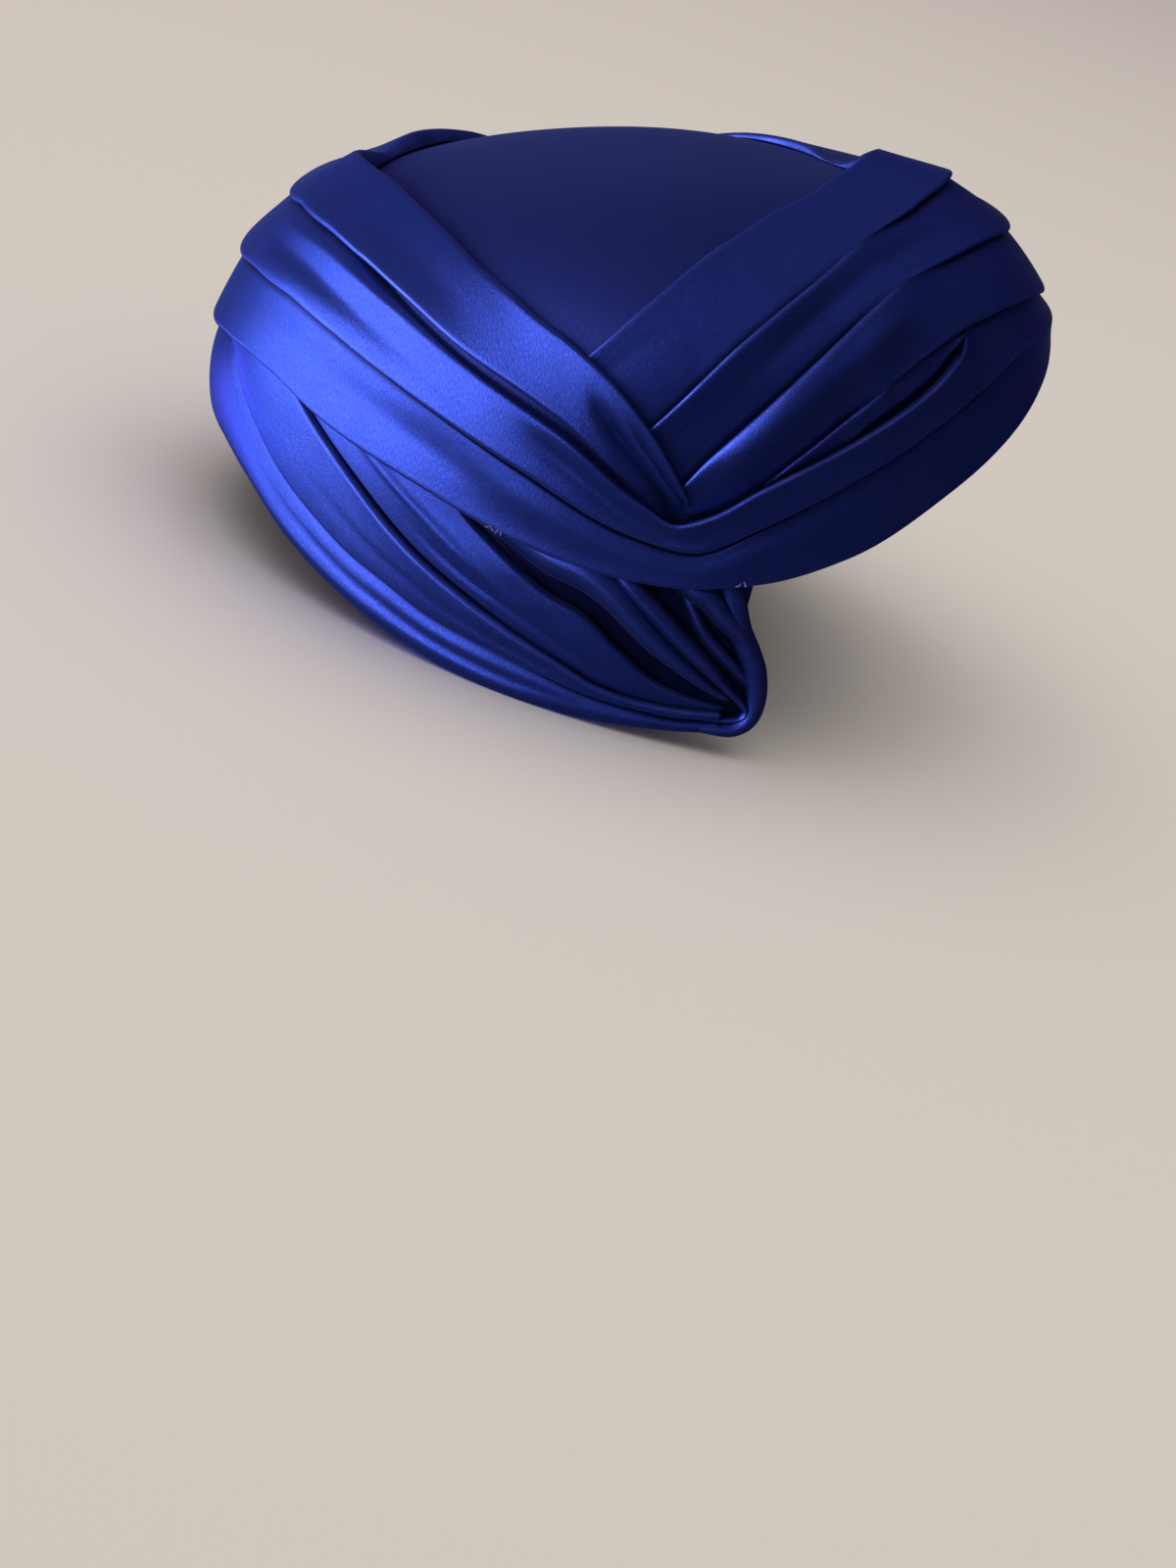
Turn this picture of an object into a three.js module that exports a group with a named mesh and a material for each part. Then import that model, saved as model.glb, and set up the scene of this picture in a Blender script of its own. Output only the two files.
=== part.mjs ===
// A draped satin half hat.
// A stiff shallow crown carries pleats across the front, one wide pleat across the back, and two band pleats
// that run right round and cross over the front drape above each ear. Below them the nape folds sweep
// forward and gather to a point in front of each ear.
// Millimetres, +Z up. The hat is laid out as it is worn, +X to the face and +Y to the wearer's left,
// and the outer group then sets it down on its two ear points.
import * as THREE from "three";

// Blocked form, measured to the outside of the crown from the centre of its widest level
const HALF_LENGTH = 93;
const HALF_WIDTH = 76;
const CROWN_HEIGHT = 63;
const WALL_FALL = 150; // the larger, the straighter the wall below the widest level
const SQUARENESS = 3; // 2 is an ellipsoid, more is flatter on top
const CROWN_WALL = 2;

// Pleats
const SEAT = 0.5; // gap between the crown and what lies on it
const PLEAT_GAP = 0.3; // each pleat stays this far inside its fold lines
const MOST_INSET = 0.25; // and at most this share of its width, where it narrows to a tip
const END_SHARE = 0.5; // thickness at a tucked end, as a share of the full thickness
const END_LENGTH = 0.1; // part of a pleat's length over which it thins towards a tucked end

// Rest on a table: the hat leans back until its weight is over the ear points, which the table flattens
const REST_LEAN = 17; // degrees
const REST_HEIGHT = 42.9; // table to the centre of the widest level
const REST_FORWARD = 6.9; // middle of the resting hat's length to the centre of the widest level

// Fold lines on the form, for one side. Azimuth runs from the brow (0) past the ear (90) to the nape (180),
// and each entry is azimuth: drop, the angle down from the top of the crown, in degrees.
const FOLD_LINES = {
  front_edge: { 0: 38.5, 25: 37.5, 48: 39, 72: 45.7, 87: 54.5, 98: 63 },
  front_fold_1: { 0: 53, 10: 52, 24: 49.5, 42: 50.3, 60: 55.6, 72: 61.7, 88: 73.7 },
  front_fold_2: { 0: 62, 10: 61, 25: 58.2, 34: 58, 43: 59, 60: 65.5, 77: 77, 84: 84 },
  front_fold_3: { 0: 71, 10: 70, 22: 67.7, 31: 67, 40: 68, 54: 73, 65: 79.2, 70: 82.6, 78: 86.3, 83: 87.4 },
  back_edge: { 78: 91, 80: 86.4, 84: 78, 87: 73, 93: 66.3, 96: 62.4, 101: 60, 114: 53.6, 134: 46.2,
    150: 43, 180: 44 },
  band_top: { 0: 71, 10: 70, 22: 67.7, 31: 67, 36: 70, 41: 72.4, 55: 77.3, 70: 82.6, 78: 86.3, 83: 87.4,
    88: 84, 101: 72.7, 118: 63.5, 133: 57.7, 145: 54.6, 160: 54, 172: 57, 180: 58 },
  band_middle: { 0: 74, 20: 73, 30: 74.8, 52: 82, 70: 89, 80: 92.4, 90: 89.3, 107: 79.5, 121: 72.7, 138: 66.8,
    150: 64.5, 160: 64.2, 180: 66.5 },
  band_bottom: { 0: 77.5, 13: 80, 22: 82.8, 38: 88.4, 56: 95.4, 70: 98, 78: 98.2, 91: 96.4, 107: 91,
    123: 83.6, 140: 77.6, 154: 74.5, 163: 74.2, 180: 75.5 },
  nape_fold_low: { 68: 118.4, 81: 117.4, 90: 115, 111: 109.3, 128: 101.5, 142: 91.7, 151: 84.5, 160: 76.6,
    163: 74.2, 180: 75.5 },
  nape_fold_high: { 70: 117.8, 82: 116.3, 94: 113.2, 111: 103.3, 124: 94.3, 136: 82.7, 142: 77.6, 148: 75.3 },
  pocket_edge: { 70: 117.2, 77: 115.2, 84: 113, 90: 109.3, 95: 104, 105: 97.5, 110: 92.6, 114: 89.4 },
  hem: { 68: 119.8, 78: 120.8, 90: 120, 107: 117.3, 126: 110.2, 146: 99, 157: 91.5, 165: 88.2, 180: 86.5 },
  crown_rim: { 0: 74, 25: 79, 45: 87, 62: 92.5, 69: 96, 73: 109, 77: 115, 84: 116, 95: 114.5, 115: 109,
    135: 100, 155: 89, 180: 84 },
};

// Top of a pleat's section: place across it from the upper fold line (0) to the lower one (1), and height as
// a share of its thickness
const PLEAT_TOP = [
  { across: 0, height: 0.45 },
  { across: 0.1, height: 0.85 },
  { across: 0.5, height: 1 },
  { across: 0.9, height: 0.85 },
  { across: 1, height: 0.45 },
];
const UNDERSIDE_STEPS = 3;
const CAP_THICKNESS = 0.05; // share of the width, for laying out the triangles of a pleat's end

// Pleats that lie between two fold lines and cross the middle of the hat. A span is the azimuth where that
// edge starts and ends; below 0 or past 180 it is on the wearer's left.
const ALL_ROUND = [0, 360];
const PLEATS = [
  { name: "front_pleat_top", upper: "front_edge", upperSpan: [-96.3, 96.3],
    lower: "front_fold_1", lowerSpan: [-86.2, 86.2], steps: 40, thickness: 2.6 },
  { name: "front_pleat_middle", upper: "front_fold_1", upperSpan: [-86, 86],
    lower: "front_fold_2", lowerSpan: [-81.3, 81.3], steps: 36, thickness: 3.4 },
  { name: "front_pleat_low", upper: "front_fold_2", upperSpan: [-81.1, 81.1],
    lower: "front_fold_3", lowerSpan: [-79, 79], steps: 36, thickness: 3.2 },
  { name: "back_pleat", upper: "back_edge", upperSpan: [81.4, 278.6],
    lower: "band_top", lowerSpan: [83.2, 276.8], steps: 48, thickness: 3.8 },
  { name: "band_pleat_upper", upper: "band_top", upperSpan: ALL_ROUND,
    lower: "band_middle", lowerSpan: ALL_ROUND, steps: 60, thickness: 4 },
  { name: "band_pleat_lower", upper: "band_middle", upperSpan: ALL_ROUND,
    lower: "band_bottom", lowerSpan: ALL_ROUND, steps: 60, thickness: 4 },
  { name: "nape_fold_hem", upper: "nape_fold_low", upperSpan: [69, 291],
    lower: "hem", lowerSpan: [68.5, 291.5], steps: 48, thickness: 4 },
];

// Pleats that show above one ear only, made once for each side
const SIDE_PLEATS = [
  { name: "front_leaf", upper: "front_fold_3", upperSpan: [36, 68],
    lower: "band_top", lowerSpan: [36, 68], steps: 10, thickness: 2.4 },
  { name: "nape_fold_low", upper: "nape_fold_high", upperSpan: [71.5, 145],
    lower: "nape_fold_low", lowerSpan: [71, 157], steps: 20, thickness: 4.8 },
  { name: "nape_fold_high", upper: "pocket_edge", upperSpan: [71.5, 112.5],
    lower: "nape_fold_high", lowerSpan: [71.5, 141], steps: 16, thickness: 4.4, undersideSteps: 7 },
];

// The side gather fans out from the ear point to the lower band pleat. Ridges are places across the fan, from
// the face side (0) to the nape side (1), with their half width in the same measure.
const GATHER_TOP = [73.5, 109]; // azimuth of the fan's corners under the band pleat
const GATHER_CLEARANCE = 0.5; // degrees below the band pleat
const GATHER_POINT = [{ azimuth: 67.8, drop: 117.6 }, { azimuth: 71.2, drop: 116 }];
const POCKET_CLEARANCE = 0.9; // degrees above the pocket edge
const GATHER_VALLEY = 1.4; // thickness between the ridges
const GATHER_RIDGES = [
  { place: 0.07, halfWidth: 0.09, height: 2.6 },
  { place: 0.27, halfWidth: 0.12, height: 3.0 },
  { place: 0.53, halfWidth: 0.16, height: 3.4 },
  { place: 0.84, halfWidth: 0.17, height: 3.2 },
];
const GATHER_STEPS = 16; // across the fan
const GATHER_ROWS = 7; // from the band pleat to the ear point

const CROWN_COLUMNS = 56;
const CROWN_ROWS = 11;

const CROWN_SATIN = { color: 0x2a2468, roughness: 0.42, metalness: 0 };
const DRAPE_SATIN = { color: 0x3340a8, roughness: 0.36, metalness: 0 };

const { degToRad, lerp, smoothstep } = THREE.MathUtils;

// The table top, seen from the hat as it is worn
const lean = degToRad(REST_LEAN);
const table = new THREE.Plane(new THREE.Vector3(Math.sin(lean), 0, Math.cos(lean)), REST_HEIGHT);

// Size of a point against the form: 1 on it, less inside and more outside
function formMeasure(point) {
  const level = Math.hypot(point.x / HALF_LENGTH, point.y / HALF_WIDTH);
  const rise = Math.abs(point.z) / (point.z > 0 ? CROWN_HEIGHT : WALL_FALL);
  return (level ** SQUARENESS + rise ** SQUARENESS) ** (1 / SQUARENESS);
}

// Outward normal of the form: the gradient of its measure
function formNormal(point) {
  const level = Math.hypot(point.x / HALF_LENGTH, point.y / HALF_WIDTH);
  const depth = point.z > 0 ? CROWN_HEIGHT : WALL_FALL;
  const around = level ** (SQUARENESS - 2);
  const up = (Math.abs(point.z) / depth) ** (SQUARENESS - 1) / depth;
  return new THREE.Vector3(
    around * point.x / HALF_LENGTH ** 2,
    around * point.y / HALF_WIDTH ** 2,
    Math.sign(point.z) * up,
  ).normalize();
}

// Point that stands off the form by lift; what would sink into the table is pressed flat on it
function onForm({ azimuth, drop }, lift) {
  const turn = degToRad(azimuth);
  const tip = degToRad(drop);
  const point = new THREE.Vector3(
    Math.cos(turn) * Math.sin(tip),
    -Math.sin(turn) * Math.sin(tip),
    Math.cos(tip),
  );
  point.divideScalar(formMeasure(point));
  point.addScaledVector(formNormal(point), lift);
  const sunk = Math.max(0, -table.distanceToPoint(point));
  return point.addScaledVector(table.normal, sunk);
}

// Both sides of the hat share one table of fold lines
function sideAzimuth(azimuth) {
  const turned = THREE.MathUtils.euclideanModulo(azimuth, 360);
  return Math.min(turned, 360 - turned);
}

// Slope of a fold line at one of its entries: the harmonic mean of the slopes on both sides, and level where
// the line turns back or meets the middle of the hat
function slopeAt(knots, index) {
  const slope = (first) => (knots[first + 1][1] - knots[first][1]) / (knots[first + 1][0] - knots[first][0]);
  const back = slope(Math.max(index - 1, 0));
  const ahead = slope(Math.min(index, knots.length - 2));
  const onMiddle = knots[index][0] % 180 === 0;
  return onMiddle || back * ahead <= 0 ? 0 : 2 * back * ahead / (back + ahead);
}

// Place on a fold line: its drop runs through the line's entries as a smooth curve with no overshoot
function onFoldLine(name, azimuth) {
  const knots = Object.entries(FOLD_LINES[name]).map(([key, drop]) => [Number(key), drop]);
  const place = THREE.MathUtils.clamp(sideAzimuth(azimuth), knots[0][0], knots.at(-1)[0]);
  const index = Math.max(0, knots.findIndex(([key]) => key >= place) - 1);
  const [[start, a], [end, b]] = knots.slice(index, index + 2);
  const length = end - start;
  const t = (place - start) / length;
  const bend = slopeAt(knots, index) * length * t * (1 - t) ** 2
    - slopeAt(knots, index + 1) * length * t * t * (1 - t);
  return { azimuth, drop: lerp(a, b, t * t * (3 - 2 * t)) + bend };
}

function between(from, to, share) {
  return { azimuth: lerp(from.azimuth, to.azimuth, share), drop: lerp(from.drop, to.drop, share) };
}

function solid(points, triangles) {
  const geometry = new THREE.BufferGeometry();
  geometry.setAttribute("position", new THREE.Float32BufferAttribute(points.flatMap((p) => p.toArray()), 3));
  geometry.setIndex(triangles.flat());
  geometry.computeVertexNormals();
  return geometry;
}

// Two triangles for each cell of a grid of points that runs along the azimuth and then down
function gridTriangles(index, along, down) {
  const triangles = [];
  for (let row = 0; row < along; row++) {
    for (let column = 0; column < down; column++) {
      const [a, b] = [index(row, column), index(row, column + 1)];
      const [c, d] = [index(row + 1, column), index(row + 1, column + 1)];
      triangles.push([a, c, b], [b, c, d]);
    }
  }
  return triangles;
}

// A wall from one layer of points to the next, for a rim that runs round an outer skin
function rimTriangles(rim, layer) {
  return rim.flatMap((a, place) => {
    const b = rim[(place + 1) % rim.length];
    return [[b, a, a + layer], [b, a + layer, b + layer]];
  });
}

function insideOut(triangles, layer) {
  return triangles.map(([a, b, c]) => [a + layer, c + layer, b + layer]);
}

// A pleat's section runs over its top and back along its underside
function pleatSection(undersideSteps) {
  const underside = Array.from({ length: undersideSteps + 1 }, (_, step) => 1 - step / undersideSteps);
  return [...PLEAT_TOP, ...underside.map((across) => ({ across, height: 0 }))];
}

// Outline of a pleat's end, thin and bent as it lies on the form, so that no triangle cuts across the bend
function capOutline({ across, height }) {
  return new THREE.Vector2(across, CAP_THICKNESS * height - (across - 0.5) ** 2);
}

// A pleat: its section carried along the strip between its two fold lines
function pleatGeometry({ upper, upperSpan, lower, lowerSpan, steps, thickness, undersideSteps }) {
  const closed = upperSpan === ALL_ROUND;
  const rows = closed ? steps : steps + 1;
  const section = pleatSection(undersideSteps ?? UNDERSIDE_STEPS);
  const points = [];
  for (let row = 0; row < rows; row++) {
    const along = row / steps;
    const top = onFoldLine(upper, lerp(...upperSpan, along));
    const bottom = onFoldLine(lower, lerp(...lowerSpan, along));
    const inset = Math.min(PLEAT_GAP / onForm(top, 0).distanceTo(onForm(bottom, 0)), MOST_INSET);
    const toEnd = smoothstep(Math.min(along, 1 - along), 0, END_LENGTH);
    const fullness = closed ? thickness : thickness * lerp(END_SHARE, 1, toEnd);
    for (const { across, height } of section) {
      const place = between(top, bottom, lerp(inset, 1 - inset, across));
      points.push(onForm(place, SEAT + height * fullness));
    }
  }
  const index = (row, column) => (row % rows) * section.length + column % section.length;
  const triangles = gridTriangles(index, steps, section.length);
  if (!closed) {
    for (const [a, b, c] of THREE.ShapeUtils.triangulateShape(section.map(capOutline), [])) {
      triangles.push([a, c, b], [index(steps, a), index(steps, b), index(steps, c)]);
    }
  }
  return solid(points, triangles);
}

// The crown: a shell from the top of the form down to the rim
function crownGeometry() {
  const points = [];
  for (const lift of [0, -CROWN_WALL]) {
    points.push(onForm({ azimuth: 0, drop: 0 }, lift));
    for (let column = 0; column < CROWN_COLUMNS; column++) {
      const { azimuth, drop } = onFoldLine("crown_rim", 360 * column / CROWN_COLUMNS);
      for (let row = 1; row <= CROWN_ROWS; row++) {
        points.push(onForm({ azimuth, drop: drop * row / CROWN_ROWS }, lift));
      }
    }
  }
  const layer = points.length / 2;
  const index = (column, row) => (row === 0 ? 0 : (column % CROWN_COLUMNS) * CROWN_ROWS + row);
  const columns = Array.from({ length: CROWN_COLUMNS }, (_, column) => column);
  const top = columns.map((column) => [0, index(column + 1, 1), index(column, 1)]);
  const sides = gridTriangles((column, row) => index(column, row + 1), CROWN_COLUMNS, CROWN_ROWS - 1);
  const rim = columns.map((column) => index(column, CROWN_ROWS)).reverse();
  const outer = [...top, ...sides];
  return solid(points, [...outer, ...insideOut(outer, layer), ...rimTriangles(rim, layer)]);
}

// Thickness of the side gather across the fan: round ridges that stand up from the valleys
function gatherThickness(across) {
  const heights = GATHER_RIDGES.map(({ place, halfWidth, height }) => {
    const off = Math.min(1, Math.abs(across - place) / halfWidth);
    return height * Math.sqrt(1 - off * off);
  });
  return GATHER_VALLEY + Math.max(...heights);
}

// The side gather: a fan between the lower band pleat and the ear point, bowed to follow the pocket edge
function gatherGeometry() {
  const straight = (across, down) => {
    const top = onFoldLine("band_bottom", lerp(...GATHER_TOP, across));
    top.drop += GATHER_CLEARANCE;
    return between(top, between(...GATHER_POINT, across), down);
  };
  const points = [];
  for (const layer of [1, 0]) {
    for (let step = 0; step <= GATHER_STEPS; step++) {
      const across = step / GATHER_STEPS;
      for (let row = 0; row <= GATHER_ROWS; row++) {
        const place = straight(across, row / GATHER_ROWS);
        const napeSide = straight(1, row / GATHER_ROWS);
        const pocket = onFoldLine("pocket_edge", napeSide.azimuth);
        place.drop += across * (pocket.drop - POCKET_CLEARANCE - napeSide.drop);
        points.push(onForm(place, SEAT + layer * gatherThickness(across)));
      }
    }
  }
  const layer = points.length / 2;
  const index = (step, row) => step * (GATHER_ROWS + 1) + row;
  const skin = gridTriangles(index, GATHER_STEPS, GATHER_ROWS);
  const rim = [];
  for (let step = 0; step < GATHER_STEPS; step++) rim.push(index(step, 0));
  for (let row = 0; row < GATHER_ROWS; row++) rim.push(index(GATHER_STEPS, row));
  for (let step = GATHER_STEPS; step > 0; step--) rim.push(index(step, GATHER_ROWS));
  for (let row = GATHER_ROWS; row > 0; row--) rim.push(index(0, row));
  return solid(points, [...skin, ...insideOut(skin, layer), ...rimTriangles(rim, layer)]);
}

// The same piece above the other ear
function mirrored(geometry) {
  const copy = geometry.clone().scale(1, -1, 1);
  const index = Array.from(geometry.getIndex().array);
  copy.setIndex(index.map((_, place) => index[place + [0, 1, -1][place % 3]]));
  return copy;
}

function piece(name, geometry, finish) {
  const mesh = new THREE.Mesh(geometry, new THREE.MeshStandardMaterial(finish));
  mesh.name = name;
  return mesh;
}

const hat = new THREE.Group();
hat.add(piece("crown", crownGeometry(), CROWN_SATIN));
for (const pleat of PLEATS) hat.add(piece(pleat.name, pleatGeometry(pleat), DRAPE_SATIN));
const aboveEar = SIDE_PLEATS.map((pleat) => [pleat.name, pleatGeometry(pleat)]);
aboveEar.push(["side_gather", gatherGeometry()]);
for (const [name, geometry] of aboveEar) {
  hat.add(piece(`${name}_right`, geometry, DRAPE_SATIN));
  hat.add(piece(`${name}_left`, mirrored(geometry), DRAPE_SATIN));
}

// Set the hat down on the table
hat.rotation.y = -lean;
hat.position.set(REST_FORWARD, 0, REST_HEIGHT);
const restingHat = new THREE.Group();
restingHat.add(hat);

export default restingHat;
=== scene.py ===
# %% [markdown]
# # A draped satin half hat
# The hat is a stiff, shallow cap covered in dark royal blue satin. Soft pleats are sewn over it: three
# across the front, one wide pleat across the back, two that run right round, and a fan of folds that
# sweeps from the nape to a point in front of each ear. The solids of the part are already in place when
# this lesson starts. Each step below makes one group of pieces in full detail and lets them stand for
# those solids.

# %% Load the frame
import math

import bpy
import numpy as np
from mathutils import Matrix, Vector


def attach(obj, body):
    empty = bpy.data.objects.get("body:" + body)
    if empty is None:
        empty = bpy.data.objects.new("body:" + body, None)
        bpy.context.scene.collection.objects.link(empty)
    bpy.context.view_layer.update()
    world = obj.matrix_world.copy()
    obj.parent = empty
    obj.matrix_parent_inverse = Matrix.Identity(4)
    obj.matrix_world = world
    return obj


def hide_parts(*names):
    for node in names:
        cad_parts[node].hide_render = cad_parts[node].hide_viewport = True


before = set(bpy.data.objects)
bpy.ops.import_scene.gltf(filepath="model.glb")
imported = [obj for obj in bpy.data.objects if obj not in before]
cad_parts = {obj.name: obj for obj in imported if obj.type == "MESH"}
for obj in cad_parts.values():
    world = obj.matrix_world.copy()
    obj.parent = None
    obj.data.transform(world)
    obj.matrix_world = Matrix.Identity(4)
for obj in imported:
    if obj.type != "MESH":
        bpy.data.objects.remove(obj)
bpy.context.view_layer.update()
print("solids in the frame:", sorted(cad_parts))

# %% [markdown]
# ## The blocked form
# A milliner stretches the cloth over a wooden block. Here the block is a formula: a rounded dome that is
# flatter on top than an ellipsoid, with walls that run in a little below its widest level. A place on it
# is given by two angles, as on a globe: the azimuth round the hat, from the brow (0) past the ear (90) to
# the nape (180), and the drop down from the top of the crown. Every piece is laid on the block in these
# two angles, so neighbouring pleats share their edges exactly. The worn cap has settled by three
# millimetres towards the front left, and the block has that dip too.

# %% The blocked form
MM = 0.001
HALF_LENGTH = 93.0
HALF_WIDTH = 76.0
CROWN_HEIGHT = 63.0
WALL_FALL = 150.0
SQUARENESS = 3.0
DIP = 3.0
DIP_PLACE = np.array([48.0, 18.0])
DIP_SPREAD = np.array([20.0, 35.0])
DIP_FADE = 30.0
REST_LEAN = math.radians(17.0)
REST_PLACE = np.array([6.9, 0.0, 42.9])
LEAN = np.array([
    [math.cos(REST_LEAN), 0.0, -math.sin(REST_LEAN)],
    [0.0, 1.0, 0.0],
    [math.sin(REST_LEAN), 0.0, math.cos(REST_LEAN)],
])


def at_rest(worn):
    """Points of the worn hat, in millimetres, set down on the table: leaned back about Y, lifted and moved
    forward. The table presses flat what would sink into it. The result is in metres."""
    place = np.asarray(worn, float) @ LEAN.T + REST_PLACE
    place[..., 2] = np.maximum(place[..., 2], 0.0)
    return place * MM


def on_form(azimuth, drop, lift):
    """Point that stands off the block by lift along its normal, on the worn hat, in millimetres. The
    direction (cos a sin d, -sin a sin d, cos d) is scaled until the cubes of its level radius and of its
    height, each as a share of the block's, add up to one. The normal is the gradient of that sum. The dip
    is a bell over the level place, which fades out towards the block's widest level."""
    azimuth, drop, lift = np.broadcast_arrays(np.radians(azimuth), np.radians(drop), lift)
    point = np.stack(
        [np.cos(azimuth) * np.sin(drop), -np.sin(azimuth) * np.sin(drop), np.cos(drop)], axis=-1
    )
    depth = np.where(point[..., 2] > 0, CROWN_HEIGHT, WALL_FALL)

    def shares(p):
        return np.hypot(p[..., 0] / HALF_LENGTH, p[..., 1] / HALF_WIDTH), np.abs(p[..., 2]) / depth

    level, rise = shares(point)
    point = point / ((level**SQUARENESS + rise**SQUARENESS) ** (1 / SQUARENESS))[..., None]
    level, rise = shares(point)
    around = level ** (SQUARENESS - 2)
    normal = np.stack(
        [
            around * point[..., 0] / HALF_LENGTH**2,
            around * point[..., 1] / HALF_WIDTH**2,
            np.sign(point[..., 2]) * rise ** (SQUARENESS - 1) / depth,
        ],
        axis=-1,
    )
    normal /= np.linalg.norm(normal, axis=-1, keepdims=True)
    point = point + normal * lift[..., None]
    bell = np.exp(-0.5 * (((point[..., :2] - DIP_PLACE) / DIP_SPREAD) ** 2).sum(axis=-1))
    point[..., 2] -= DIP * bell * np.clip(point[..., 2] / DIP_FADE, 0, 1)
    return point


print("top of the block stands", round(float(at_rest(on_form(0.0, 0.0, 0.0))[2]), 4), "m above the table")

# %% [markdown]
# ## Fold lines
# Each pleat lies between two fold lines. A line is a short table, azimuth: drop, for one side of the hat,
# and the other side mirrors it. Between the entries it runs as a cubic curve whose slope at each entry is
# the harmonic mean of the slopes on both sides, which never overshoots.

# %% Fold lines
FOLD_LINES = {
    "front_edge": {0: 41, 6: 40, 14: 38.6, 25: 37.5, 48: 39, 72: 45.7, 87: 54.5, 98: 63},
    "front_fold_1": {0: 52, 3: 51.8, 10: 51, 20: 50, 30: 49.9, 42: 51, 58: 55.4, 72: 61.7, 88: 73.7},
    "front_fold_2": {0: 61.8, 15: 59.3, 24: 58.4, 32: 58.1, 40: 58.5, 48: 60.3, 60: 65.5, 77: 77, 84: 84},
    "front_fold_3": {0: 71, 8: 69.6, 16: 68.1, 24: 67.1, 31: 66.9, 40: 68, 54: 73, 65: 79.2, 70: 82.6,
                     78: 86.3, 83: 87.4},
    "back_edge": {78: 91, 80: 86.4, 84: 78, 87: 73, 92.4: 66.6, 97.6: 62.4, 101.3: 59.9, 105.3: 57.9,
                  111.7: 54.5, 119: 51.4, 130.7: 47, 144.5: 44.2, 156: 43.2, 168: 44.2, 180: 45.4},
    "band_top": {0: 71, 8: 69.6, 16: 68.1, 24: 67.1, 31: 66.9, 36: 70, 41: 72.4, 55: 77.3, 70: 82.6,
                 78: 86.3, 83: 87.4, 88: 84, 101: 72.5, 118: 63.7, 131: 58.6, 142: 56, 155: 54.7,
                 167: 54.8, 176: 56, 180: 56.3},
    "band_middle": {0: 74, 20: 73, 30: 74.8, 52: 82, 70: 89, 80: 92.4, 90: 89.3, 107: 79.5, 121: 72.7,
                    134: 67.9, 144: 65.4, 153: 64.2, 163: 64.1, 175: 65.2, 180: 65.5},
    "band_bottom": {0: 77.5, 13: 80, 22: 82.8, 38: 88.4, 56: 95.4, 70: 98, 78: 98.2, 91: 96.4, 107: 91,
                    123: 83.6, 140: 77.3, 150: 74, 158: 73.1, 165: 73.2, 172: 74, 180: 74.6},
    "nape_fold_low": {68: 119.2, 81: 118.6, 90: 116.9, 97: 115, 103.5: 112.4, 111: 109.3, 122: 104.5,
                      129: 100.2, 135: 96.8, 141.7: 92, 147.5: 87.6, 153: 82.4, 159: 77, 163: 73.6,
                      165: 73.2, 172: 74, 180: 74.6},
    "nape_fold_high": {70: 118.2, 81: 117.2, 87: 116.2, 94.8: 113.8, 102: 109.6, 111.8: 103.4, 124: 94.3,
                       136: 82.7, 142: 77.6, 148: 73, 152: 70},
    "pocket_edge": {72: 118, 74.5: 117.4, 79: 116, 85.5: 113.3, 92: 107.7, 97.2: 102.4, 102.5: 99.3,
                    107: 95.6, 110.8: 92.2, 114: 89.4, 119: 84},
    "hem": {68: 119.8, 78: 120.8, 90: 120, 107: 117.3, 126: 110.2, 146: 99, 157: 91.5, 165: 88.2,
            180: 86.5},
    "crown_rim": {0: 74, 25: 79, 45: 87, 62: 92.5, 69: 96, 73: 109, 77: 115, 84: 116, 95: 114.5, 115: 109,
                  135: 100, 155: 89, 180: 84},
}


def side_azimuth(azimuth):
    """Both sides share one table: the azimuth, folded about the middle of the hat into 0 to 180."""
    return np.abs((np.asarray(azimuth, float) + 180.0) % 360.0 - 180.0)


def through(table, place):
    """Smooth curve through a table {place: value}: cubic pieces whose slope at an entry is the harmonic
    mean of the slopes on both sides, and level where the table turns back or meets the middle of the
    hat."""
    x, y = np.array(sorted(table.items()), float).T
    place = np.clip(place, x[0], x[-1])
    slope = np.diff(y) / np.diff(x)
    before = np.concatenate([slope[:1], slope])
    after = np.concatenate([slope, slope[-1:]])
    level = (before * after <= 0) | (x % 180 == 0)
    tangent = np.where(level, 0.0, 2 * before * after / np.where(level, 1.0, before + after))
    first = np.clip(np.searchsorted(x, place) - 1, 0, len(x) - 2)
    length = x[first + 1] - x[first]
    t = (place - x[first]) / length
    bend = tangent[first] * length * t * (1 - t) ** 2 - tangent[first + 1] * length * t * t * (1 - t)
    return y[first] + (y[first + 1] - y[first]) * t * t * (3 - 2 * t) + bend


def fold_line(name, azimuth):
    """Drop of a fold line at each azimuth."""
    return through(FOLD_LINES[name], side_azimuth(azimuth))


hang = float(fold_line("hem", 90.0))
print(len(FOLD_LINES), "fold lines; the hem hangs", hang, "degrees down above the ear")

# %% [markdown]
# ## How the layers lie
# At every fold line one strip lies on top and the other goes in underneath it. Across the front and the
# back the upper strip is on top, and towards the crossing above the ear the front strips change over, as
# the twisted cloth does. One table per line says this for both neighbours: the height of the top layer,
# which strip it is (1 for the one below the line, -1 for the one above it), the thickness of its folded
# edge and how far that edge is rounded. The strip underneath then starts one fold lower and reaches in
# under its neighbour. In a few places the two don't meet, and a dark slit stays open between them: a
# second table gives its width. At the brow and the nape the drape stands up from the crown, and just left
# of there it lies flat again: a third table gives the azimuth, the spread and the share of that for the
# lines that take part.

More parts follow.
